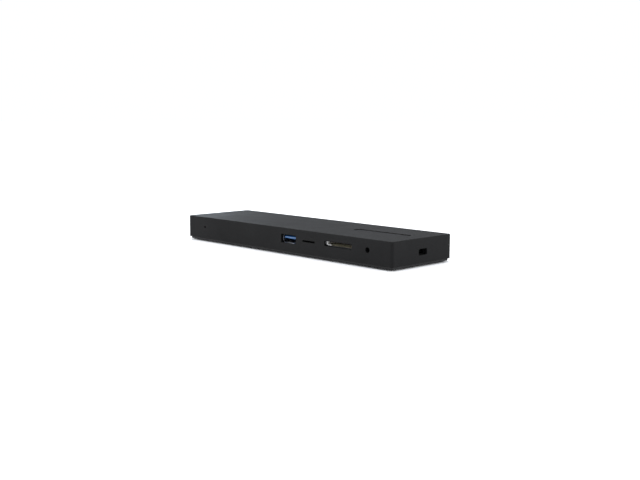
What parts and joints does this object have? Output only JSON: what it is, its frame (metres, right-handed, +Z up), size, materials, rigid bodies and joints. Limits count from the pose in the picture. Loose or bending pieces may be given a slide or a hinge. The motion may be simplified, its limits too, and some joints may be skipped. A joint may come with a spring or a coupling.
{
  "type": "laptop docking station",
  "caption": "Slim bar-shaped docking station in matt black plastic, with card, USB and audio sockets in front, a lock slot at one end and display, network and power sockets at the rear.",
  "frame": {"origin": "on the surface the feet stand on, under the middle of the housing", "axes": "+X along the housing to the end with the lock slot, +Y from the front sockets to the rear sockets, +Z up"},
  "size_m": [0.2104, 0.0598, 0.0188],
  "materials": {
    "housing": "fine spark-eroded texture, black",
    "base": "fine texture, black",
    "rubber": "matt moulded silicone, black",
    "nameplate": "dark gloss",
    "label": "satin polyester film, blank",
    "screw_steel": "black oxide",
    "circuit_board": "green solder mask",
    "chip": "moulded epoxy",
    "ferrite": "sintered ferrite",
    "aluminium": "rolled sheet",
    "thermal_pad": "soft silicone pad",
    "socket_steel": "tin plated sheet",
    "nickel": "nickel plated",
    "gold_contact": "gold plated spring bronze",
    "usb_blue": "moulded nylon, blue",
    "insulator": "moulded nylon, black",
    "light_pipe": "smoked clear acrylic",
    "led": "phosphor and white resin",
    "bracket_steel": "black zinc plate"
  },
  "bodies": {
    "dock": {"upper_housing": "housing", "base_cover": "base", "nameplate": "nameplate", "blank_label": "label", "main_circuit_board": "circuit_board", "display_controller_chip": "chip", "usb_hub_chip": "chip", "ethernet_controller_chip": "chip", "card_reader_chip": "chip", "power_inductor": "ferrite", "ethernet_transformer": "chip", "heat_spreader": "aluminium", "thermal_pad": "thermal_pad", "usb_c_host_shell": "socket_steel", "usb_c_host_tongue": "insulator", "hdmi_shell": "socket_steel", "hdmi_tongue": "insulator", "displayport_shell": "socket_steel", "displayport_tongue": "insulator", "ethernet_jack_shield": "nickel", "ethernet_jack_insert": "insulator", "ethernet_jack_contacts": "gold_contact", "dc_inlet_housing": "insulator", "dc_inlet_pin": "nickel", "audio_jack_body": "insulator", "audio_jack_contact": "gold_contact", "status_light_pipe": "light_pipe", "status_led": "led", "sd_socket_cover": "socket_steel", "sd_socket_base": "insulator", "sd_contact_strip": "gold_contact", "sd_eject_spring": "nickel", "microsd_socket_cover": "socket_steel", "microsd_socket_base": "insulator", "microsd_contact_strip": "gold_contact", "microsd_eject_spring": "nickel", "lock_slot_bracket": "bracket_steel", "foot_front_left": "rubber", "foot_front_right": "rubber", "foot_rear_left": "rubber", "foot_rear_right": "rubber", "board_screw_1": "screw_steel", "housing_screw_1": "screw_steel", "board_screw_2": "screw_steel", "housing_screw_2": "screw_steel", "board_screw_3": "screw_steel", "housing_screw_3": "screw_steel", "board_screw_4": "screw_steel", "housing_screw_4": "screw_steel", "usb_a_front_shell": "socket_steel", "usb_a_front_tongue": "usb_blue", "usb_a_front_contacts": "gold_contact", "usb_a_rear_1_shell": "socket_steel", "usb_a_rear_1_tongue": "usb_blue", "usb_a_rear_1_contacts": "gold_contact", "usb_a_rear_2_shell": "socket_steel", "usb_a_rear_2_tongue": "usb_blue", "usb_a_rear_2_contacts": "gold_contact"},
    "sd_ejector": {"sd_eject_slider": "insulator"},
    "microsd_ejector": {"microsd_eject_slider": "insulator"}
  },
  "joints": [
    {"name": "sd_eject_slide", "type": "slide", "parent": "dock", "child": "sd_ejector", "axis": [0, 1, 0], "range_m": [0, 0.004], "stiffness_N_per_m": 300, "springref_m": -0.003, "deforming": ["sd_eject_spring"]},
    {"name": "microsd_eject_slide", "type": "slide", "parent": "dock", "child": "microsd_ejector", "axis": [0, 1, 0], "range_m": [0, 0.0024], "stiffness_N_per_m": 300, "springref_m": -0.002, "deforming": ["microsd_eject_spring"]}
  ]
}
